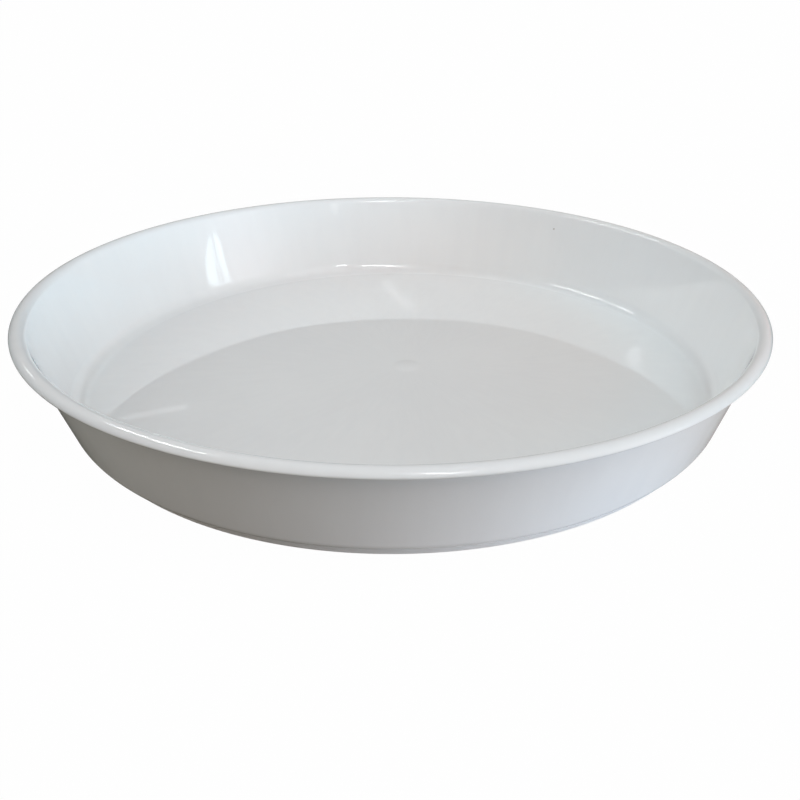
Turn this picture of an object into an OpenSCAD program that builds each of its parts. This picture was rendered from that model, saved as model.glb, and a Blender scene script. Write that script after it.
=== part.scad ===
// Round plant saucer, moulded in one piece from white plastic.
// It stands on z = 0 with its axis on Z, in millimetres and degrees.

/* [Bowl] */
// Diameter across the rolled rim
rim_d = 300; // [200:1:400]
// Height from the table to the top of the rim
saucer_h = 42.5; // [25:0.5:70]
// Lean of the wall away from the vertical
wall_lean = 18.2; // [5:0.1:30]
// Thickness of the wall and of the rolled rim
wall_t = 1.6; // [1.2:0.1:2.6]
// Thickness of the floor
floor_t = 1.8; // [1.4:0.1:3]
// Radius between the wall and the floor inside the bowl
inner_corner_r = 7; // [3:0.5:12]
// Radius between the wall and the floor outside the bowl
outer_corner_r = 5; // [2:0.5:9]

/* [Rim] */
// Radius of the hollow under the rolled rim
roll_hollow_r = 1.5; // [1:0.1:4]
// Angle that the rim rolls through, from the wall to its free edge
roll_turn = 140; // [100:5:190]

/* [Foot] */
// Height of the foot ring, which holds the floor clear of the table
foot_h = 3.6; // [2.5:0.1:8]
// Thickness of the foot ring at the table
foot_t = 2; // [1.4:0.1:4]
// Flat ledge between the outer corner and the foot ring
foot_ledge = 0.5; // [0.5:0.1:4]
// Draft of each side of the foot ring over its whole height
foot_draft = 0.1; // [0:0.05:0.4]
// Bevel along both edges of the foot ring at the table
foot_bevel = 0.4; // [0.2:0.1:0.6]

/* [Ribs] */
// Number of straight ribs under the floor
rib_count = 8; // [4:1:16]
// Thickness of the ribs and of the hub ring
rib_t = 1; // [0.8:0.1:1.6]
// Gap between the ribs and the table
rib_lift = 1.4; // [0.5:0.1:2]
// Outside diameter of the hub ring, where the ribs begin
hub_d = 64; // [30:1:120]

/* [Gate] */
// Diameter of the shallow dome in the middle of the floor
dome_d = 12.6; // [8:0.1:24]
// Height of the dome
dome_rise = 0.4; // [0.2:0.05:1]
// Diameter of the well under the dome
well_d = 9; // [5:0.5:20]
// Depth of the well
well_depth = 0.7; // [0.3:0.1:1]
// Diameter of the stub that stands in the well, where the plastic was cut off
stub_d = 2.4; // [1:0.1:4]
// Height of the stub
stub_h = 0.5; // [0.2:0.1:0.7]

/* [Hidden] */
// Sides of the turned shape where it is shown as facets
$fn = 180;
// Widest turn of one straight step along an arc of the section
arc_step = 10;
// Fewest steps along an arc of the section
arc_least_steps = 4;

// The rim is an arc of the sheet about one centre, with a fully round free edge.
roll_r = roll_hollow_r + wall_t;
roll_mid_r = roll_hollow_r + wall_t / 2;
roll_start = 180 - wall_lean;
roll_end = roll_start - roll_turn;
roll_reach = roll_end > 0 ? roll_mid_r * cos(roll_end) + wall_t / 2 : roll_r;
roll_centre = [rim_d / 2 - roll_reach, saucer_h - roll_r];
edge_centre = roll_centre + roll_mid_r * unit(roll_end);

// Both faces of the wall leave the roll as tangents.
wall_normal = unit(-wall_lean);
wall_top_outside = roll_centre - roll_hollow_r * wall_normal;
wall_top_inside = roll_centre - roll_r * wall_normal;

// The floor lies on the foot ring, and each corner round touches the wall and the floor.
floor_top = foot_h + floor_t;
corner_half_turn = (90 - wall_lean) / 2;
outer_corner_x = wall_x(wall_top_outside, foot_h) - outer_corner_r * tan(corner_half_turn);
inner_corner_x = wall_x(wall_top_inside, floor_top) - inner_corner_r * tan(corner_half_turn);
outer_corner_centre = [outer_corner_x, foot_h + outer_corner_r];
inner_corner_centre = [inner_corner_x, floor_top + inner_corner_r];

// The foot ring stands just inside the outer corner.
foot_outer_r = outer_corner_x - foot_ledge;
foot_inner_r = foot_outer_r - foot_t;

// The ribs run from the hub ring to the foot ring and are rooted in the floor.
hub_r = hub_d / 2;
rib_root = foot_h + floor_t / 2;

// The dome is a cap of a large sphere.
dome_r = dome_d / 2;
dome_sphere_r = (dome_r * dome_r + dome_rise * dome_rise) / (2 * dome_rise);
dome_half_turn = asin(dome_r / dome_sphere_r);
dome_centre = [0, floor_top + dome_rise - dome_sphere_r];
well_top = foot_h + well_depth;

// A unit vector in the plane of the section.
function unit(angle) = [cos(angle), sin(angle)];

// Distance from the axis, at height z, of the wall face that ends at the point top.
function wall_x(top, z) = top[0] - (top[1] - z) * tan(wall_lean);

// Number of straight steps that stand for an arc.
function arc_steps(turn) = max(arc_least_steps, ceil(abs(turn) / arc_step));

// Points of an arc about a centre, from the angle a to the angle b.
function arc(centre, r, a, b) =
    [for (i = [0 : arc_steps(b - a)]) centre + r * unit(a + (b - a) * i / arc_steps(b - a))];

// Underside from the axis outwards: the well with its stub.
function well_outline() = [
    [0, well_top - stub_h],
    [stub_d / 2, well_top - stub_h],
    [stub_d / 2, well_top],
    [well_d / 2, well_top],
    [well_d / 2, foot_h],
];

// Underside: the hub ring that the ribs start from.
function hub_outline() = [
    [hub_r - rib_t, foot_h],
    [hub_r - rib_t, rib_lift],
    [hub_r, rib_lift],
    [hub_r, foot_h],
];

// Underside: the foot ring, narrower at the table.
function foot_outline() = [
    [foot_inner_r - foot_draft, foot_h],
    [foot_inner_r, foot_bevel],
    [foot_inner_r + foot_bevel, 0],
    [foot_outer_r - foot_bevel, 0],
    [foot_outer_r, foot_bevel],
    [foot_outer_r + foot_draft, foot_h],
];

// Outside of the bowl, up to the free edge of the rim.
function outside_outline() = concat(
    arc(outer_corner_centre, outer_corner_r, -90, -wall_lean),
    arc(roll_centre, roll_hollow_r, roll_start, roll_end)
);

// Free edge of the rim, the top of the roll and the inside of the bowl, back to the axis.
function inside_outline() = concat(
    arc(edge_centre, wall_t / 2, roll_end + 180, roll_end + 360),
    arc(roll_centre, roll_r, roll_end, roll_start),
    arc(inner_corner_centre, inner_corner_r, -wall_lean, -90),
    arc(dome_centre, dome_sphere_r, 90 - dome_half_turn, 90)
);

// Section of the saucer from its axis to its rim.
module section() {
    underside = concat(well_outline(), hub_outline(), foot_outline());
    polygon(concat(underside, outside_outline(), inside_outline()));
}

// One straight rib, from the middle of the hub ring's wall to the middle of the foot ring's.
module rib() {
    start = hub_r - rib_t / 2;
    end = foot_outer_r - foot_t / 2;
    translate([start, -rib_t / 2, rib_lift]) cube([end - start, rib_t, rib_root - rib_lift]);
}

// The saucer: its section turned about the axis, with the ribs under its floor.
module saucer() color("white") {
    rotate_extrude() section();
    for (i = [0 : rib_count - 1]) rotate(i * 360 / rib_count) rib();
}

saucer();
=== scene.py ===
"""A round white plastic plant saucer, dressed over its frame.

The saucer is one moulding: a flat floor on a foot ring, a leaning wall and a rolled rim, with
straight ribs and a hub ring under the floor. Its skin is worked out as whole arrays from the
section that a turner would draw, and stands in place of the solid of the frame. Lengths in the
classes are millimetres and angles are degrees, as a mould maker writes them. Blender's own
lengths are metres, and MM turns one into the other.
"""
import logging
from dataclasses import dataclass, field
from enum import Enum
from typing import TypeAlias

import bpy
import numpy as np
from mathutils import Matrix, Vector


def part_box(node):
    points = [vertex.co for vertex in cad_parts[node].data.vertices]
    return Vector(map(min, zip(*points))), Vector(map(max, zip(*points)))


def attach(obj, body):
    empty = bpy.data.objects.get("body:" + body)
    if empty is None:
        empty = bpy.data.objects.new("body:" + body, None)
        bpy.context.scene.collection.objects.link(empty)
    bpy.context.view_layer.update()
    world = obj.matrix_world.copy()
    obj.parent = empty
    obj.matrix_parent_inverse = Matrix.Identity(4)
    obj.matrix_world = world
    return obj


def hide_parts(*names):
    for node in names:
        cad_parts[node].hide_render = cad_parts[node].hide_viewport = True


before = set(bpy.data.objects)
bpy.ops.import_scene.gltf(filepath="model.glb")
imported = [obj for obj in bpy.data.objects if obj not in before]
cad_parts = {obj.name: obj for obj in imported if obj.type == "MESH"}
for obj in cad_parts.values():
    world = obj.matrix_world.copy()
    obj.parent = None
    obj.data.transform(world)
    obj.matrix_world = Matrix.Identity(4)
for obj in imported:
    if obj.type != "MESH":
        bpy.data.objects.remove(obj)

log = logging.getLogger("saucer")

Array: TypeAlias = np.ndarray
MM = 0.001


class Zone(Enum):
    """A stretch of the saucer's skin, by the mould face that forms it."""

    UNDERSIDE = "underside"
    OUTSIDE = "outside"
    ROLL = "roll"
    BOWL = "bowl"


def unit(angle: float | Array) -> Array:
    """Unit vectors in the plane of the section, at an angle from the outward direction.

    Args:
        angle: One angle or an array of angles, in degrees.

    Returns:
        The vectors, one row of (cosine, sine) for each angle.
    """
    turn = np.radians(angle)
    return np.stack([np.cos(turn), np.sin(turn)], axis=-1)


def arc(centre: Array, radius: float, start: float, end: float, step: float) -> Array:
    """Points of an arc: centre + radius * (cosine, sine) of evenly spaced angles.

    Args:
        centre: Centre of the arc.
        radius: Its radius.
        start: Angle of its first point, in degrees.
        end: Angle of its last point.
        step: Widest turn between two points.

    Returns:
        The points, both ends among them.
    """
    steps = int(np.ceil(abs(end - start) / step))
    return centre + radius * unit(np.linspace(start, end, steps + 1))


def rounded(corners: Array, radii: Array, steps: int) -> Array:
    """Points of an open outline whose corners are rounded.

    Each corner is replaced by the arc that touches both its sides. With t the turn at the corner,
    the arc begins and ends at radius * tan(t / 2) from it. The arc's points are the corner moved
    back along the incoming side by that distance, plus radius times (sin a) along the incoming
    side and (1 - cos a) along the side's normal, for angles a from 0 to t.

    Args:
        corners: The outline's points, ends included.
        radii: The radius at each point between the ends.
        steps: Number of straight steps along each arc.

    Returns:
        The two ends and the points of all the arcs, in order.
    """
    side = np.diff(corners, axis=0)
    side /= np.linalg.norm(side, axis=1, keepdims=True)
    before, after = side[:-1], side[1:]
    turn = np.arctan2(before[:, 0] * after[:, 1] - before[:, 1] * after[:, 0], (before * after).sum(1))
    normal = np.stack([-before[:, 1], before[:, 0]], axis=1) * np.sign(turn)[:, None]
    begin = corners[1:-1] - before * (radii * np.tan(np.abs(turn) / 2))[:, None]
    angle = np.abs(turn)[:, None] * np.linspace(0, 1, steps + 1)
    along = np.sin(angle)[..., None] * before[:, None]
    across = (1 - np.cos(angle))[..., None] * normal[:, None]
    arcs = begin[:, None] + radii[:, None, None] * (along + across)
    return np.concatenate([corners[:1], arcs.reshape(-1, 2), corners[-1:]])


def divided(points: Array, shortest: float, longest: float, guard: float) -> Array:
    """The same outline with its long straight stretches divided.

    A stretch over the shortest length gets a point at the guard's distance from each end, which
    keeps the smooth shading of a round from running into the flat beside it, and even points
    between them, no further apart than the longest step.

    Args:
        points: The outline's points.
        shortest: Longest stretch that stays whole.
        longest: Longest step between the points added to a stretch.
        guard: Distance of the guarding points from the ends of a stretch.

    Returns:
        The outline with the points added.
    """
    pieces = []
    for start, end in zip(points[:-1], points[1:]):
        length = float(np.linalg.norm(end - start))
        inner = np.linspace(guard, length - guard, max(2, int(np.ceil(length / longest)) + 1))
        steps = np.concatenate([[0.0], inner]) if length > shortest else np.zeros(1)
        pieces.append(start + (end - start) * (steps / length)[:, None])
    return np.concatenate([*pieces, points[-1:]])


@dataclass(frozen=True)
class SaucerSection:
    """Half of the saucer's section, from its axis to its rim.

    The rim's radius and the height come from the frame, and the other sizes are those of the
    frame's solid, with the small rounds that a mould has at its corners.
    """

    rim_r: float
    height: float
    wall_lean: float = 18.2
    wall_t: float = 1.6
    floor_t: float = 1.8
    inner_corner_r: float = 7.0
    outer_corner_r: float = 5.0
    roll_hollow_r: float = 1.5
    roll_turn: float = 140.0
    foot_h: float = 3.6
    foot_t: float = 2.0
    foot_ledge: float = 0.5
    foot_draft: float = 0.1
    foot_bevel: float = 0.4
    hub_r: float = 32.0
    rib_t: float = 1.0
    rib_lift: float = 1.4
    dome_r: float = 6.3
    dome_rise: float = 0.4
    well_r: float = 4.5
    well_depth: float = 0.7
    stub_r: float = 1.2
    stub_h: float = 0.5
    bow_rise: float = 0.6
    bow_fall: float = 1.7
    bow_from: float = 70.0
    bow_to: float = 126.0
    bow_reach: float = 1.1
    bow_fade: float = 14.0
    edge_round: float = 0.15
    root_round: float = 0.3
    arc_step: float = 6.0
    edge_step: float = 12.0
    round_steps: int = 3
    whole_step: float = 2.5
    longest_step: float = 8.0
    guard: float = 0.12

    @property
    def roll_r(self) -> float:
        """Outer radius of the rolled rim."""
        return self.roll_hollow_r + self.wall_t

    @property
    def roll_start(self) -> float:
        """Angle at which the wall runs into the roll."""
        return 180 - self.wall_lean

    @property
    def roll_end(self) -> float:
        """Angle at which the roll ends in its free edge."""
        return self.roll_start - self.roll_turn

    @property
    def roll_centre(self) -> Array:
        """Centre of the roll, placed so that its widest point lies at the rim's radius.

        Returns:
            The centre.
        """
        middle = self.roll_hollow_r + self.wall_t / 2
        reach = self.roll_r
        if self.roll_end > 0:
            reach = middle * np.cos(np.radians(self.roll_end)) + self.wall_t / 2
        return np.array([self.rim_r - reach, self.height - self.roll_r])

    @property
    def edge_centre(self) -> Array:
        """Centre of the fully round free edge."""
        return self.roll_centre + (self.roll_hollow_r + self.wall_t / 2) * unit(self.roll_end)

    @property
    def floor_top(self) -> float:
        """Height of the bowl's floor."""
        return self.foot_h + self.floor_t

    def wall_top(self, radius: float) -> Array:
        """Point where a face of the wall leaves the roll as a tangent.

        Args:
            radius: Radius of the roll on that face.

        Returns:
            The point.
        """
        return self.roll_centre - radius * unit(-self.wall_lean)

    def corner_centre(self, top: Array, level: float, radius: float) -> Array:
        """Centre of the round between a face of the wall and a level face.

        Args:
            top: Point at the top of the wall's face.
            level: Height of the level face.
            radius: Radius of the round.

        Returns:
            The centre, at a radius's distance from both faces.
        """
        foot = top[0] - (top[1] - level) * np.tan(np.radians(self.wall_lean))
        back = radius * np.tan(np.radians(90 - self.wall_lean) / 2)
        return np.array([foot - back, level + radius])

    def underside(self) -> Array:
        """The well with its stub, the hub ring, the underside of the floor and the foot ring.

        Returns:
            The points, from the axis to the beginning of the outer corner.
        """
        corner = self.corner_centre(self.wall_top(self.roll_hollow_r), self.foot_h, self.outer_corner_r)
        foot_out = corner[0] - self.foot_ledge
        foot_in = foot_out - self.foot_t
        well_top = self.foot_h + self.well_depth
        stub_z = well_top - self.stub_h
        outline = [
            (0.0, stub_z, 0.0),
            (self.stub_r, stub_z, self.edge_round),
            (self.stub_r, well_top, self.edge_round),
            (self.well_r, well_top, self.edge_round),
            (self.well_r, self.foot_h, self.edge_round),
            (self.hub_r - self.rib_t, self.foot_h, self.root_round),
            (self.hub_r - self.rib_t, self.rib_lift, self.edge_round),
            (self.hub_r, self.rib_lift, self.edge_round),
            (self.hub_r + self.foot_draft, self.foot_h, self.root_round),
            (foot_in - self.foot_draft, self.foot_h, self.root_round),
            (foot_in, self.foot_bevel, self.edge_round),
            (foot_in + self.foot_bevel, 0.0, self.edge_round),
            (foot_out - self.foot_bevel, 0.0, self.edge_round),
            (foot_out, self.foot_bevel, self.edge_round),
            (foot_out + self.foot_draft, self.foot_h, self.root_round),
            (corner[0], self.foot_h, 0.0),
        ]
        table = np.array(outline)
        return rounded(table[:, :2], table[1:-1, 2], self.round_steps)

    def outside(self) -> Array:
        """The outer corner and the outer face of the wall, up to the roll.

        Returns:
            The points, without the first, at which the underside ends.
        """
        top = self.wall_top(self.roll_hollow_r)
        centre = self.corner_centre(top, self.foot_h, self.outer_corner_r)
        corner = arc(centre, self.outer_corner_r, -90, -self.wall_lean, self.arc_step)
        return np.concatenate([corner[1:], top[None]])

    def roll(self) -> Array:
        """The hollow under the rim, its free edge and the top of the roll.

        Returns:
            The points, without the first, at which the outside ends.
        """
        hollow = arc(self.roll_centre, self.roll_hollow_r, self.roll_start, self.roll_end, self.arc_step)
        start, end = self.roll_end + 180, self.roll_end + 360
        edge = arc(self.edge_centre, self.wall_t / 2, start, end, self.edge_step)
        top = arc(self.roll_centre, self.roll_r, self.roll_end, self.roll_start, self.arc_step)
        return np.concatenate([hollow[1:], edge[1:], top[1:]])

    def bowl(self) -> Array:
        """The inner face of the wall, the inner corner, the floor and the dome in its middle.

        Returns:
            The points, without the first, at which the roll ends.
        """
        top = self.wall_top(self.roll_r)
        centre = self.corner_centre(top, self.floor_top, self.inner_corner_r)
        corner = arc(centre, self.inner_corner_r, -self.wall_lean, -90, self.arc_step)
        sphere_r = (self.dome_r**2 + self.dome_rise**2) / (2 * self.dome_rise)
        sphere = np.array([0.0, self.floor_top + self.dome_rise - sphere_r])
        half = np.degrees(np.arcsin(self.dome_r / sphere_r))
        dome = arc(sphere, sphere_r, 90 - half, 90, half / self.round_steps)
        dome[-1, 0] = 0.0
        return np.concatenate([corner, dome])

    def bowed(self, points: Array) -> Array:
        """Points of the bowl with the slight bow that the floor takes as the moulding cools.

        The middle stands a little high, and beyond a radius the floor falls by a parabola
        towards the corner. Up the wall the bow fades by the smooth step 3 u^2 - 2 u^3.

        Args:
            points: Points of the bowl's section.

        Returns:
            The points at their bowed heights.
        """
        radius, height = points.T
        reach = np.clip((radius - self.bow_from) / (self.bow_to - self.bow_from), 0, self.bow_reach)
        climb = np.clip((height - self.floor_top) / self.bow_fade, 0, 1)
        fade = 1 - climb**2 * (3 - 2 * climb)
        return np.stack([radius, height + (self.bow_rise - self.bow_fall * reach**2) * fade], axis=1)

    def outline(self) -> tuple[Array, Array]:
        """The whole section, from the axis under the floor round to the axis in the bowl.

        Returns:
            The points and, for each point, the zone that it belongs to.
        """
        strokes = {
            Zone.UNDERSIDE: self.underside(),
            Zone.OUTSIDE: self.outside(),
            Zone.ROLL: self.roll(),
            Zone.BOWL: self.bowl(),
        }
        points, zones, last = [], [], None
        for zone, stroke in strokes.items():
            joined = stroke if last is None else np.concatenate([last, stroke])
            fine = divided(joined, self.whole_step, self.longest_step, self.guard)
            fine = self.bowed(fine) if zone == Zone.BOWL else fine
            points.append(fine if last is None else fine[1:])
            zones.extend([zone] * len(points[-1]))
            last = stroke[-1:]
        return np.concatenate(points), np.array(zones)


@dataclass(frozen=True)
class Ribs:
    """The straight ribs between the hub ring and the foot ring."""

    count: int = 8
    draft: float = 0.06
    skirt: float = 0.9
    between: int = 38

    def profile(self, section: SaucerSection) -> Array:
        """Half of a rib's own section, across its length.

        Args:
            section: The saucer's section, which gives the rib's thickness and lift.

        Returns:
            Rows of distance from the rib's middle and height of the surface there.
        """
        half = section.rib_t / 2
        table = np.array([
            (0.0, section.rib_lift, 0.0),
            (half, section.rib_lift, section.edge_round),
            (half + self.draft, section.foot_h, section.root_round),
            (half + self.skirt, section.foot_h, 0.0),
        ])
        return rounded(table[:, :2], table[1:-1, 2], section.round_steps)

    def columns(self, section: SaucerSection, radius: Array, even: Array) -> tuple[Array, Array]:
        """Angle and height of the ribs' surface at every column of the mesh.

        Near a rib the columns run parallel to it, so their angle from it is the arc sine of
        their distance over the radius. Between two ribs they fan out evenly. Away from the ribs
        the columns move over to even angles, by a share of each row.

        Args:
            section: The saucer's section.
            radius: Radius of each row of the mesh.
            even: Share of the even angles in each row, from 0 to 1.

        Returns:
            The angles in radians, one row for each radius, and the height of each column.
        """
        rib = self.profile(section)
        near = np.concatenate([-rib[:0:-1, 0], rib[:, 0]])
        near_z = np.concatenate([rib[:0:-1, 1], rib[:, 1]])
        pitch = 2 * np.pi / self.count
        reach = np.maximum(radius, section.hub_r)[:, None]
        beside = np.arcsin(near / reach)
        edge = beside[:, -1:]
        share = np.arange(1, self.between) / self.between
        fan = edge + (pitch - 2 * edge) * share
        sector = np.concatenate([beside, fan], axis=1)
        height = np.concatenate([near_z, np.full(len(share), section.foot_h)])
        steady = (np.arange(len(height)) - (len(near) - 1) / 2) * (pitch / len(height))
        sector = sector + (steady - sector) * even[:, None]
        turns = np.arange(self.count) * pitch
        angles = (turns[None, :, None] + sector[:, None, :]).reshape(len(radius), -1)
        return angles, np.tile(height, self.count)


def skin_mesh(name: str, rows: Array, values: dict[str, Array]) -> bpy.types.Mesh:
    """A closed mesh from rows of points round the axis, with a pole at either end.

    Row i and column j give the quad between rows i and i + 1 and columns j and j + 1, where the
    last column joins the first. The first and the last row are single points on the axis, which
    fans of triangles join to the rows next to them.

    Args:
        name: Name of the mesh.
        rows: Points as rows by columns by 3, in metres, the poles' rows included.
        values: Named values for the points, one for each row.

    Returns:
        The mesh, smooth and with its faces outwards.
    """
    inner = rows[1:-1]
    count, columns = inner.shape[:2]
    points = np.concatenate([rows[:1, 0], inner.reshape(-1, 3), rows[-1:, 0]])
    index = 1 + np.arange(count * columns).reshape(count, columns)
    ahead = np.roll(index, -1, axis=1)
    quads = np.stack([index[:-1], ahead[:-1], ahead[1:], index[1:]], axis=-1).reshape(-1, 4)
    first = np.stack([np.zeros(columns, int), ahead[0], index[0]], axis=-1)
    last = np.stack([np.full(columns, len(points) - 1), index[-1], ahead[-1]], axis=-1)
    mesh = bpy.data.meshes.new(name)
    mesh.from_pydata(points.tolist(), [], quads.tolist() + first.tolist() + last.tolist())
    for label, value in values.items():
        layer = mesh.attributes.new(label, "FLOAT", "POINT")
        spread = np.concatenate([value[:1], np.repeat(value[1:-1], columns), value[-1:]])
        layer.data.foreach_set("value", spread.astype(np.float32))
    mesh.polygons.foreach_set("use_smooth", np.ones(len(mesh.polygons), bool))
    mesh.update()
    return mesh


Operand: TypeAlias = "Value | float | tuple[float, ...]"


class Value:
    """A number on an output socket, for Python expressions that add Math nodes."""

    def __init__(self, graph: "Graph", socket: bpy.types.NodeSocket) -> None:
        """Wraps an output socket of a graph's tree."""
        self.graph = graph
        self.socket = socket

    def with_math(self, operation: str, *others: "Operand") -> "Value":
        """A Math node whose first input is this value.

        Args:
            operation: The node's operation.
            others: Its other inputs.

        Returns:
            The node's result.
        """
        return self.graph.math(operation, self, *others)

    def __add__(self, other: "Operand") -> "Value":
        """Sum."""
        return self.graph.math("ADD", self, other)

    __radd__ = __add__

    def __sub__(self, other: "Operand") -> "Value":
        """Difference."""
        return self.graph.math("SUBTRACT", self, other)

    def __rsub__(self, other: "Operand") -> "Value":
        """Difference from a number."""
        return self.graph.math("SUBTRACT", other, self)

    def __mul__(self, other: "Operand") -> "Value":
        """Product."""
        return self.graph.math("MULTIPLY", self, other)

    __rmul__ = __mul__

    def __truediv__(self, other: "Operand") -> "Value":
        """Quotient."""
        return self.graph.math("DIVIDE", self, other)

    def between(self, low: float, high: float) -> "Value":
        """A smooth step of this value, from 0 at the low limit to 1 at the high one.

        Args:
            low: Value that gives 0.
            high: Value that gives 1. It may be under the low one, and the step then falls.

        Returns:
            The step.
        """
        flipped = high < low
        ends = {"From Min": min(low, high), "From Max": max(low, high)}
        outs = {"To Min": float(flipped), "To Max": float(not flipped)}
        settings = {"interpolation_type": "SMOOTHSTEP", "clamp": True}
        return self.graph.node("ShaderNodeMapRange", settings, {"Value": self, **ends, **outs})


class Triple(Value):
    """A colour or a vector on an output socket."""

    def __add__(self, other: "Operand") -> "Triple":
        """Sum of the parts."""
        return self.graph.vector_math("ADD", self, other)

    def __mul__(self, other: "Operand") -> "Triple":
        """Product of the parts."""
        return self.graph.vector_math("MULTIPLY", self, other)

    def scaled(self, factor: "Operand") -> "Triple":
        """Every part times one factor."""
        return self.graph.vector_math("SCALE", self, Scale=factor)

    def unit(self) -> "Triple":
        """The same direction at length 1."""
        return self.graph.vector_math("NORMALIZE", self)

    def length(self) -> Value:
        """Length of the vector."""
        return self.graph.vector_math("LENGTH", self, output="Value")

    def dot(self, other: "Operand") -> Value:
        """Scalar product with another vector."""
        return self.graph.vector_math("DOT_PRODUCT", self, other, output="Value")

    def distance(self, other: "Operand") -> Value:
        """Distance from another point."""
        return self.graph.vector_math("DISTANCE", self, other, output="Value")


class Graph:
    """The nodes of one tree, built from Python expressions."""

    def __init__(self, tree: bpy.types.NodeTree) -> None:
        """Starts from an empty tree."""
        self.tree = tree
        tree.nodes.clear()

    def node(
        self,
        kind: str,
        settings: dict[str, object] | None = None,
        sockets: dict[str | int, object] | None = None,
        output: str | int = 0,
    ) -> Value:
        """Adds one node.

        Args:
            kind: The node's type.
            settings: Its settings by name, which are set first.
            sockets: Values or links of its inputs, by name or number.
            output: Name or number of the output that is wanted.

        Returns:
            The output, as a Triple where it holds a colour or a vector.
        """
        node = self.tree.nodes.new(kind)
        for name, value in (settings or {}).items():
            setattr(node, name, value)
        for name, value in (sockets or {}).items():
            target = node.inputs[name]
            if isinstance(value, Value):
                self.tree.links.new(value.socket, target)
            elif target.type == "RGBA":
                target.default_value = (*value, 1.0)
            else:
                target.default_value = value
        if not node.outputs:
            return Value(self, None)
        socket = node.outputs[output]
        return (Triple if socket.type in {"RGBA", "VECTOR"} else Value)(self, socket)

    def math(self, operation: str, *inputs: "Operand") -> Value:
        """A Math node of one operation on its inputs."""
        return self.node("ShaderNodeMath", {"operation": operation}, dict(enumerate(inputs)))

    def vector_math(
        self,
        operation: str,
        *inputs: "Operand",
        output: str = "Vector",
        **named: "Operand",
    ) -> Value:
        """A Vector Math node of one operation on its inputs.

        Args:
            operation: The node's operation.
            inputs: Its inputs in order.
            output: Name of the output that is wanted.
            named: Further inputs by name.

        Returns:
            The node's result.
        """
        sockets = {**dict(enumerate(inputs)), **named}
        return self.node("ShaderNodeVectorMath", {"operation": operation}, sockets, output)

    def mixed(self, factor: "Operand", first: "Operand", second: "Operand") -> Triple:
        """A colour between two colours.

        On the Mix node the colours go in at the sockets 6 and 7 and come out at the socket 2.

        Args:
            factor: Share of the second colour.
            first: Colour at 0.
            second: Colour at 1.

        Returns:
            The colour.
        """
        return self.node("ShaderNodeMix", {"data_type": "RGBA"}, {0: factor, 6: first, 7: second}, 2)

    def blended(self, factor: "Operand", first: Value, second: Value) -> Value:
        """A shader between two shaders, by the share of the second."""
        return self.node("ShaderNodeMixShader", {}, {0: factor, 1: first, 2: second})

    def noise(self, place: Triple, scale: float, detail: float = 2.0) -> Value:
        """Noise at a place, by its scale and detail."""
        return self.node("ShaderNodeTexNoise", {}, {"Vector": place, "Scale": scale, "Detail": detail})


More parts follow.
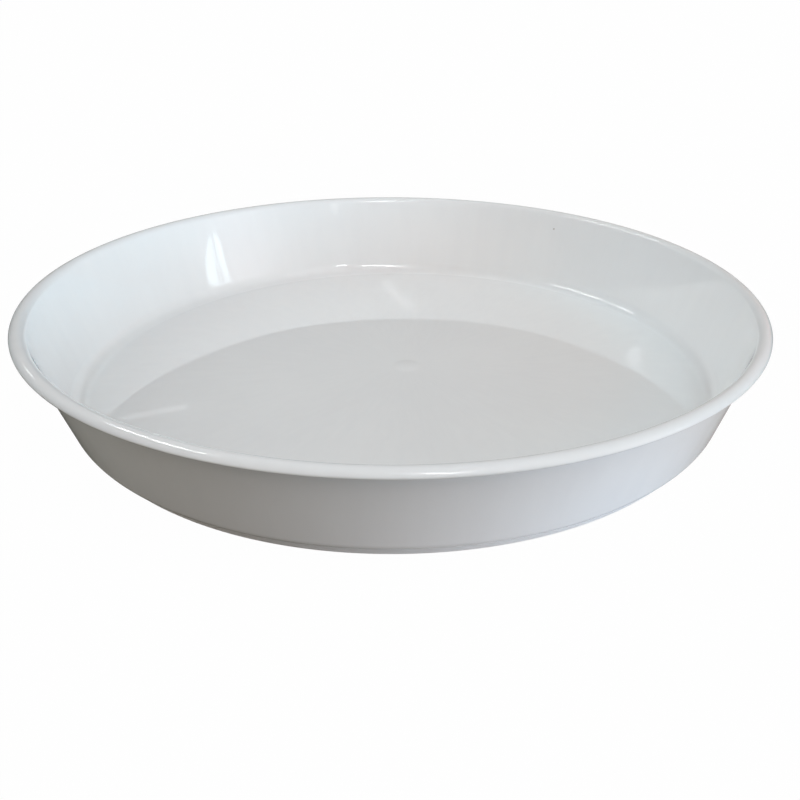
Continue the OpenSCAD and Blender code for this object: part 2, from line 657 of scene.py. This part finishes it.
@dataclass(frozen=True)
class WhitePolypropylene:
    """The glossy white plastic, as it comes out of a polished mould.

    The plastic fills the mould from the gate in the middle of the floor, which leaves faint
    radial flow lines. Its gloss is dulled a little in soft patches, its skin is very slightly
    uneven, and use has left hairline scuffs. The underside is satin, with rings from the
    lathe that cut the mould.
    """

    name: str = "white_polypropylene"
    colour: tuple[float, float, float] = (0.87, 0.88, 0.875)
    shade: tuple[float, float, float] = (0.84, 0.85, 0.85)
    index: float = 1.49
    gloss: float = 0.025
    dulled: float = 0.04
    satin: float = 0.4
    translucency: float = 0.15
    light_depth: float = 0.003
    cloud_scale: float = 14.0
    flow_lines: float = 22.0
    flow_share: float = 0.35
    ripple_scale: float = 60.0
    ripple_depth: float = 0.000006
    peel_scale: float = 900.0
    peel_depth: float = 0.0000004
    ring_pitch: float = 0.0008
    ring_depth: float = 0.000006
    scuff_depth: float = 0.000004
    colour_limits: tuple[float, float] = (0.3, 0.7)
    dulled_scale: float = 28.0
    dulled_limits: tuple[float, float] = (0.35, 0.7)
    flow_stretch: float = 4.0
    scuff_turns: tuple[float, float] = (0.5, 2.1)
    scuff_grain: tuple[float, float, float] = (14.0, 900.0, 30.0)
    scuff_limits: tuple[float, float] = (0.74, 0.78)
    scuff_dulling: float = 0.12
    fleck_place: tuple[float, float, float] = (0.0801, 0.1174, 0.0341)
    fleck_r: float = 0.0006
    fleck_colour: tuple[float, float, float] = (0.5, 0.48, 0.44)

    def flow(self, graph: Graph, place: Triple) -> Value:
        """Streaks that run out from the gate: noise of the direction from the axis.

        Args:
            graph: The material's graph.
            place: Object coordinates.

        Returns:
            The streaks, from 0 to 1.
        """
        flat = place * (1, 1, 0)
        along = flat.length() * self.flow_stretch
        spread = flat.unit() + graph.node("ShaderNodeCombineXYZ", {}, {"Z": along})
        return graph.noise(spread, self.flow_lines, detail=3.0)

    def scuffs(self, graph: Graph, place: Triple) -> Value:
        """Hairlines in two directions: the peaks of noise that is drawn out along each.

        Args:
            graph: The material's graph.
            place: Object coordinates.

        Returns:
            The lines, from 0 to 1.
        """
        lines = []
        for turn in self.scuff_turns:
            settings = {"vector_type": "POINT"}
            sockets = {"Vector": place, "Rotation": (0.0, 0.0, turn), "Scale": self.scuff_grain}
            drawn = graph.node("ShaderNodeMapping", settings, sockets)
            lines.append(graph.noise(drawn, scale=1.0, detail=1.0).between(*self.scuff_limits))
        return lines[0].with_math("MAXIMUM", lines[1])

    def height(self, graph: Graph, place: Triple, satin: Value, scuffs: Value) -> Value:
        """Height of the skin's unevenness, in metres.

        Args:
            graph: The material's graph.
            place: Object coordinates.
            satin: 1 on the underside, 0 elsewhere.
            scuffs: The hairline scuffs.

        Returns:
            The height.
        """
        ripple = graph.noise(place, self.ripple_scale, detail=1.0) * self.ripple_depth
        peel = graph.noise(place, self.peel_scale, detail=2.0) * self.peel_depth
        radius = (place * (1, 1, 0)).length()
        rings = (radius * (2 * np.pi / self.ring_pitch)).with_math("SINE") * self.ring_depth
        return ripple + peel + rings * satin - scuffs * self.scuff_depth

    def material(self) -> bpy.types.Material:
        """Makes the material.

        Returns:
            The material.
        """
        material = bpy.data.materials.new(self.name)
        material.use_nodes = True
        graph = Graph(material.node_tree)
        place = graph.node("ShaderNodeTexCoord", output="Object")
        satin = graph.node("ShaderNodeAttribute", {"attribute_name": "satin"}, output="Fac")
        clouds = graph.noise(place, self.cloud_scale, detail=3.0)
        flow = self.flow(graph, place)
        scuffs = self.scuffs(graph, place)
        uneven = clouds * (1 - self.flow_share) + flow * self.flow_share
        colour = graph.mixed(uneven.between(*self.colour_limits), self.colour, self.shade)
        fleck = place.distance(self.fleck_place).between(self.fleck_r, self.fleck_r / 2)
        colour = graph.mixed(fleck, colour, self.fleck_colour)
        patches = graph.noise(place, self.dulled_scale, detail=4.0).between(*self.dulled_limits)
        gloss = self.gloss + (self.dulled - self.gloss) * patches
        roughness = gloss + satin * self.satin + scuffs * self.scuff_dulling
        height = self.height(graph, place, satin, scuffs)
        bump = graph.node("ShaderNodeBump", {}, {"Height": height, "Distance": 1.0, "Strength": 1.0})
        shader = graph.node("ShaderNodeBsdfPrincipled", {}, {
            "Base Color": colour,
            "Roughness": roughness,
            "IOR": self.index,
            "Subsurface Weight": self.translucency,
            "Subsurface Radius": (1.0, 1.0, 1.0),
            "Subsurface Scale": self.light_depth,
            "Normal": bump,
        })
        graph.node("ShaderNodeOutputMaterial", {}, {"Surface": shader})
        return material


@dataclass
class Saucer:
    """The saucer itself: one moulded piece."""

    section: SaucerSection
    ribs: Ribs = field(default_factory=Ribs)
    plastic: WhitePolypropylene = field(default_factory=WhitePolypropylene)
    node: str = "saucer"
    slot: str = "white_plastic"

    @classmethod
    def from_frame(cls, node: str) -> "Saucer":
        """A saucer whose rim and height are those of a node of the frame.

        Args:
            node: Name of the node.

        Returns:
            The saucer.
        """
        low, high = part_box(node)
        return cls(section=SaucerSection(rim_r=high.x / MM, height=high.z / MM))

    def rows(self) -> tuple[Array, Array]:
        """Points of the skin, row by row.

        A turned point is (r cos a, r sin a, z). Between the hub ring and the foot ring the
        height is the lower of the section's and the ribs', which joins the ribs to both rings.

        Returns:
            The points in metres, as rows by columns by 3, and the zone of each row.
        """
        outline, zones = self.section.outline()
        radius, height = outline.T
        wall = self.section.foot_h + self.section.outer_corner_r, self.section.roll_centre[1]
        even = np.where(zones == Zone.OUTSIDE, np.interp(height, wall, (0, 1)), zones != Zone.UNDERSIDE)
        angles, rib_z = self.ribs.columns(self.section, radius, even.astype(float))
        foot = outline[zones == Zone.UNDERSIDE][-1, 0] - self.section.foot_ledge - self.section.foot_t / 2
        hub = self.section.hub_r - self.section.rib_t / 2
        ribbed = (zones == Zone.UNDERSIDE) & (radius > hub) & (radius < foot)
        z = np.where(ribbed[:, None], np.minimum(height[:, None], rib_z), height[:, None])
        r = np.broadcast_to(radius[:, None], z.shape)
        return np.stack([r * np.cos(angles), r * np.sin(angles), z], axis=-1) * MM, zones

    def build(self) -> bpy.types.Object:
        """Makes the saucer and puts it in the place of its node.

        Returns:
            The saucer's object.
        """
        rows, zones = self.rows()
        satin = (zones == Zone.UNDERSIDE).astype(float)
        mesh = skin_mesh("saucer_skin", rows, {"satin": satin})
        plastic = self.plastic.material()
        mesh.materials.append(plastic)
        for slot in bpy.data.objects[self.node].material_slots:
            slot.material = plastic
        piece = bpy.data.objects.new("saucer_skin", mesh)
        bpy.context.scene.collection.objects.link(piece)
        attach(piece, "root")
        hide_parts(self.node)
        log.info("%s: %d faces", piece.name, len(mesh.polygons))
        return piece


@dataclass(frozen=True)
class PhotoCamera:
    """The camera, placed by its distance and angles from the middle of the foot.

    Its picture is square. The focal length and the place in the picture of the middle of the
    foot are in picture elements, and the other lengths are millimetres.
    """

    distance: float = 410.9
    elevation: float = 25.33
    pan: float = 6.005
    tilt: float = 0.056
    roll: float = 0.209
    focal_px: float = 930.8
    picture_px: float = 800.0
    foot_px: tuple[float, float] = (406.9, 378.0)
    sensor_w: float = 36.0

    def axes(self) -> tuple[Vector, Vector, Vector]:
        """The camera's right, up and forward directions.

        Returns:
            The three directions, after the pan, the tilt and the roll.
        """
        elevation = np.radians(self.elevation)
        right = Vector((1, 0, 0))
        ahead = Vector((0, np.cos(elevation), -np.sin(elevation)))
        up = right.cross(ahead)
        pan = Matrix.Rotation(-np.radians(self.pan), 3, up)
        right, ahead = pan @ right, pan @ ahead
        tilt = Matrix.Rotation(np.radians(self.tilt), 3, right)
        up, ahead = tilt @ up, tilt @ ahead
        roll = Matrix.Rotation(np.radians(self.roll), 3, ahead)
        return roll @ right, roll @ up, ahead

    def place(self) -> Vector:
        """Where the camera stands, in metres."""
        elevation = np.radians(self.elevation)
        return Vector((0, -np.cos(elevation), np.sin(elevation))) * (self.distance * MM)

    def build(self) -> bpy.types.Object:
        """Makes the camera and shows the scene through it.

        Returns:
            The camera's object.
        """
        right, up, ahead = self.axes()
        place = self.place()
        data = bpy.data.cameras.new("photo_camera")
        data.sensor_width = self.sensor_w
        data.lens = self.focal_px * self.sensor_w / self.picture_px
        foot = -place
        offset = Vector((foot.dot(right), foot.dot(up))) * (self.focal_px / foot.dot(ahead))
        middle = self.picture_px / 2
        data.shift_x = (middle - self.foot_px[0] + offset.x) / self.picture_px
        data.shift_y = (self.foot_px[1] + offset.y - middle) / self.picture_px
        camera = bpy.data.objects.new("photo_camera", data)
        turn = Matrix((right, up, -ahead)).transposed().to_4x4()
        camera.matrix_world = Matrix.Translation(place) @ turn
        bpy.context.scene.collection.objects.link(camera)
        bpy.context.scene.camera = camera
        return camera


def heading(azimuth: float, elevation: float) -> Vector:
    """The unit vector towards a point of the sky.

    Args:
        azimuth: Angle from +X round the upright, in degrees.
        elevation: Angle over the table, in degrees.

    Returns:
        The vector.
    """
    turn, rise = np.radians(azimuth), np.radians(elevation)
    return Vector((np.cos(turn) * np.cos(rise), np.sin(turn) * np.cos(rise), np.sin(rise)))


@dataclass(frozen=True)
class Glow:
    """A soft light of the studio: strength * exp(focus * (cos(angle from its middle) - 1))."""

    azimuth: float
    elevation: float
    colour: tuple[float, float, float]
    focus: float = 7.4


NARROW = 20.0

# A strong low light at the right, one over the front and two at the left light the plastic.
SOFT_LIGHT = (
    Glow(-22, 3, (5.39, 8.00, 9.46), NARROW),
    Glow(-60, 60, (3.81, 4.84, 5.15), NARROW),
    Glow(-30, 30, (2.05, 0.58, 0.00), NARROW),
    Glow(45, 6, (0.00, 0.37, 0.60)),
    Glow(150, 30, (2.34, 2.95, 3.27), NARROW),
    Glow(-160, 30, (2.49, 2.57, 2.39), NARROW),
    Glow(-135, 52, (0.27, 0.00, 0.00)),
    Glow(90, 28, (0.45, 0.18, 0.00)),
)

# The gloss mirrors a weak glow from round the front, besides the flat lights.
MIRRORED_LIGHT = (
    Glow(-45, 52, (1.10, 1.10, 1.10)),
    Glow(-90, 6, (1.10, 1.10, 1.10)),
    Glow(-22, 3, (1.05, 1.05, 1.05)),
    Glow(-135, 6, (1.10, 1.10, 1.10)),
    Glow(-24, 8, (1.50, 1.20, 1.30), 30.0),
    Glow(45, 6, (0.56, 0.29, 0.18)),
    Glow(180, 6, (0.00, 0.00, 0.10)),
    Glow(0, 90, (0.10, 0.05, 0.05)),
)


@dataclass(frozen=True)
class Studio:
    """The studio round the saucer: near white behind it, and soft lights for everything else.

    The gloss mirrors soft lights of its own, which are weaker than those that light the plastic.
    """

    soft: tuple[Glow, ...]
    mirrored: tuple[Glow, ...]
    backdrop: float = 1.0

    def light(self, graph: Graph, glows: tuple[Glow, ...]) -> Triple:
        """Sum of some soft lights in the direction of a ray.

        Args:
            graph: The world's graph.
            glows: The lights.

        Returns:
            The light's colour.
        """
        view = graph.node("ShaderNodeTexCoord", output="Generated")
        light = graph.node("ShaderNodeCombineXYZ")
        for glow in glows:
            cosine = view.dot(tuple(heading(glow.azimuth, glow.elevation)))
            fall = ((cosine - 1) * glow.focus).with_math("EXPONENT")
            colour = graph.node("ShaderNodeCombineXYZ", {}, dict(zip("XYZ", glow.colour)))
            light = light + colour.scaled(fall)
        return light

    def build(self) -> None:
        """Makes the world of the scene."""
        world = bpy.data.worlds.new("studio")
        world.use_nodes = True
        graph = Graph(world.node_tree)
        soft, mirrored = self.light(graph, self.soft), self.light(graph, self.mirrored)
        glossy = graph.node("ShaderNodeLightPath", output="Is Glossy Ray")
        lit = graph.node("ShaderNodeBackground", {}, {"Color": graph.mixed(glossy, soft, mirrored)})
        white = graph.node("ShaderNodeBackground", {}, {"Color": (self.backdrop,) * 3})
        seen = graph.node("ShaderNodeLightPath", output="Is Camera Ray")
        graph.node("ShaderNodeOutputWorld", {}, {"Surface": graph.blended(seen, lit, white)})
        bpy.context.scene.world = world


@dataclass(frozen=True)
class Pane:
    """A flat studio light far off, which only the gloss of the plastic mirrors."""

    name: str
    corners: tuple[tuple[float, float], ...]
    colour: tuple[float, float, float]
    distance: float = 12.0

    def build(self) -> bpy.types.Object:
        """Makes the light: its corners lie at their azimuth and elevation, at its distance.

        Returns:
            The light's object, which only the gloss shows.
        """
        material = bpy.data.materials.new(self.name)
        material.use_nodes = True
        graph = Graph(material.node_tree)
        glow = graph.node("ShaderNodeEmission", {}, {"Color": self.colour})
        graph.node("ShaderNodeOutputMaterial", {}, {"Surface": glow})
        points = [heading(azimuth, elevation) * self.distance for azimuth, elevation in self.corners]
        mesh = bpy.data.meshes.new(self.name)
        mesh.from_pydata(points, [], [list(range(len(points)))])
        mesh.materials.append(material)
        pane = bpy.data.objects.new(self.name, mesh)
        pane.visible_camera = False
        pane.visible_diffuse = False
        bpy.context.scene.collection.objects.link(pane)
        return pane


# Corners are pairs of azimuth and elevation, in degrees, as seen from the saucer.
PANES = (
    Pane(
        "strip_light_left",
        ((-7.3, 7.6), (-12.1, 7.6), (-12.1, 14.7), (-10.0, 13.5), (-8.3, 12.3), (-7.5, 9.0)),
        (5.3, 6.2, 6.5),
    ),
    Pane(
        "strip_light_middle",
        (
            (-12.8, 7.6), (-13.6, 7.6), (-13.4, 10.0), (-12.9, 13.5), (-12.9, 14.8),
            (-12.4, 14.8), (-12.4, 13.5),
        ),
        (5.0, 5.8, 6.2),
    ),
    Pane(
        "strip_light_right",
        (
            (-14.3, 7.6), (-17.6, 7.6), (-17.2, 9.0), (-16.1, 13.4), (-16.1, 14.6),
            (-15.6, 15.1), (-13.8, 15.1), (-13.3, 13.4), (-14.2, 10.0),
        ),
        (5.3, 6.2, 6.5),
    ),
    Pane(
        "card_light_low",
        (
            (-69.5, 38.0), (-74.0, 40.0), (-84.0, 43.5), (-84.0, 45.0), (-77.8, 45.0),
            (-74.0, 44.5), (-69.5, 42.0),
        ),
        (26.0, 26.0, 26.0),
    ),
    Pane(
        "card_light_side",
        ((-83.3, 45.4), (-91.0, 45.4), (-91.0, 46.4), (-83.3, 46.4)),
        (8.0, 8.0, 8.0),
    ),
    Pane(
        "card_light_high",
        (
            (-77.8, 45.1), (-83.2, 45.1), (-84.2, 51.5), (-87.0, 54.5), (-94.5, 55.6),
            (-94.5, 58.4), (-86.0, 57.0), (-81.5, 55.3), (-78.7, 51.2),
        ),
        (16.0, 16.1, 16.5),
    ),
    Pane(
        "card_light_edge",
        ((-104.6, 46), (-105.4, 46), (-104.4, 51), (-103.6, 51)),
        (6.0, 6.0, 6.0),
    ),
    Pane(
        "side_light",
        ((-60.8, 20.8), (-63.4, 20.8), (-63.4, 22.6), (-60.8, 22.6)),
        (4.4, 4.4, 4.4),
    ),
    Pane(
        "side_light_top",
        ((-60.0, 24.0), (-65.0, 24.0), (-64.0, 27.0), (-60.5, 27.0)),
        (28.0, 28.0, 28.0),
    ),
    Pane(
        "long_strip_light",
        (
            (137, 44.5), (141, 45.2), (150, 47.8), (158, 50.3), (167, 50.8), (175, 52.2),
            (184, 54.7), (184, 57.7), (175, 55.2), (167, 53.8), (158, 53.3), (150, 49.5),
            (141, 46.4), (137, 45.4),
        ),
        (24.0, 24.0, 24.0),
    ),
    Pane(
        "long_strip_light_end",
        (
            (152.0, 46.0), (148.0, 43.8), (145.0, 42.4), (142.2, 42.4), (143.2, 45.4),
            (149.0, 47.0),
        ),
        (13.0, 13.4, 14.6),
    ),
    Pane(
        "back_light",
        ((131, 22.0), (138, 22.0), (138, 26.0), (131, 26.0)),
        (2.6, 2.6, 2.6),
    ),
    Pane(
        "back_strip_left",
        ((106.3, 26.5), (112, 26.6), (112, 27.1), (106.3, 27.0)),
        (0.7, 0.7, 0.7),
    ),
    Pane(
        "back_strip_right",
        ((71.5, 29.1), (74.2, 28.8), (74.2, 29.3), (71.5, 29.6)),
        (0.3, 0.3, 0.3),
    ),
)


@dataclass(frozen=True)
class FloorGlowPatch:
    """A soft patch of floor that glows with painted light, unseen by the camera, to light the saucer from
    below: colour * exp(-(distance from its middle / radius)^2).
    """

    place: tuple[float, float, float]
    radius: float
    colour: tuple[float, float, float]


@dataclass(frozen=True)
class PaleFloor:
    """The plain pale floor, a wide disc that ends out of the camera's sight."""

    radius: float = 6.0
    sides: int = 96
    bounce: tuple[float, float, float] = (0.12, 0.12, 0.12)
    backdrop: float = 1.05
    shadow: float = 0.06
    # Painted light: glowing patches of floor, unseen by the camera, that light the saucer from below.
    patches: tuple[FloorGlowPatch, ...] = (
        FloorGlowPatch((0.2, -0.2, 0.0), 0.16, (0.78, 0.67, 0.60)),
        FloorGlowPatch((-0.2, -0.2, 0.0), 0.16, (0.08, 0.07, 0.03)),
        FloorGlowPatch((0.09, -0.14, 0.0), 0.05, (0.13, 0.23, 0.36)),
        FloorGlowPatch((0.025, -0.135, 0.0), 0.045, (0.16, 0.15, 0.16)),
    )

    def material(self) -> bpy.types.Material:
        """A floor that looks near white and throws back a little less light, and glows in soft patches of
        painted light that the camera does not see.

        Returns:
            The material.
        """
        material = bpy.data.materials.new("pale_floor")
        material.use_nodes = True
        graph = Graph(material.node_tree)
        matt = graph.node("ShaderNodeBsdfDiffuse", {}, {"Color": self.bounce})
        white = graph.node("ShaderNodeEmission", {}, {"Color": (self.backdrop,) * 3})
        looks = graph.blended(self.shadow, white, matt)
        place = graph.node("ShaderNodeTexCoord", output="Object")
        patch_glow = graph.node("ShaderNodeCombineXYZ")
        # Painted light: each patch makes the floor glow for rays from the saucer, but not for the camera.
        for patch in self.patches:
            away = place.distance(patch.place) / patch.radius
            colour = graph.node("ShaderNodeCombineXYZ", {}, dict(zip("XYZ", patch.colour)))
            patch_glow = patch_glow + colour.scaled((away * away * -1).with_math("EXPONENT"))
        glow = graph.node("ShaderNodeEmission", {}, {"Color": patch_glow})
        lit = graph.node("ShaderNodeAddShader", {}, {0: matt, 1: glow})
        seen = graph.node("ShaderNodeLightPath", output="Is Camera Ray")
        graph.node("ShaderNodeOutputMaterial", {}, {"Surface": graph.blended(seen, lit, looks)})
        return material

    def build(self) -> bpy.types.Object:
        """Makes the floor: points (radius cos a, radius sin a, 0) as one face.

        Returns:
            The floor's object.
        """
        turn = np.arange(self.sides) * (2 * np.pi / self.sides)
        points = np.stack([np.cos(turn), np.sin(turn), np.zeros(self.sides)], axis=1) * self.radius
        mesh = bpy.data.meshes.new("pale_floor")
        mesh.from_pydata(points.tolist(), [], [list(range(self.sides))])
        mesh.materials.append(self.material())
        floor = bpy.data.objects.new("pale_floor", mesh)
        bpy.context.scene.collection.objects.link(floor)
        return floor


def main() -> None:
    """Builds the camera, the saucer and the studio, and reports each piece."""
    logging.basicConfig(level=logging.INFO, format="%(name)s: %(message)s")
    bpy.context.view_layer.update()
    PhotoCamera().build()
    Saucer.from_frame("saucer").build()
    PaleFloor().build()
    Studio(soft=SOFT_LIGHT, mirrored=MIRRORED_LIGHT).build()
    for pane in PANES:
        pane.build()
    bpy.context.scene.view_settings.view_transform = "Standard"


if __name__ == "__main__":
    main()
